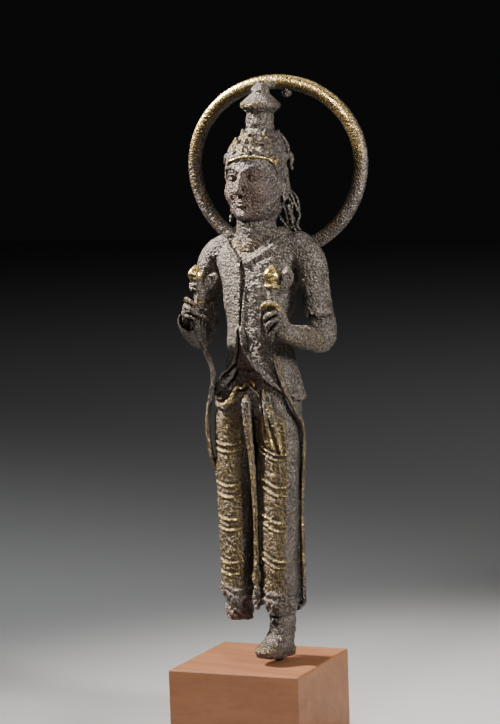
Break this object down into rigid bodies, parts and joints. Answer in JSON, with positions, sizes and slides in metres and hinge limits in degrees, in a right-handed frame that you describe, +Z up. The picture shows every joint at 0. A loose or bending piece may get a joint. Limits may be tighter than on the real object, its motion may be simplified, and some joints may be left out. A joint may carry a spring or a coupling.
{
  "type": "standing sun god statue with ring halo",
  "caption": "Small cast-bronze standing sun god with lotuses and a ring halo, one leg broken off, pinned on a wooden display block.",
  "frame": {"origin": "centre of the block's underside", "axes": "+Z up, -Y the way the figure faces, +X to the figure's own left"},
  "size_m": [0.0687, 0.0556, 0.2309],
  "materials": {
    "bronze": "grey-brown granular patina, worn to dull gold on high places",
    "steel": "blackened",
    "wood": "smooth satin, fine level grain"
  },
  "bodies": {
    "root": {"statue": "bronze", "mount_pin": "steel", "mount_block": "wood"}
  },
  "joints": []
}
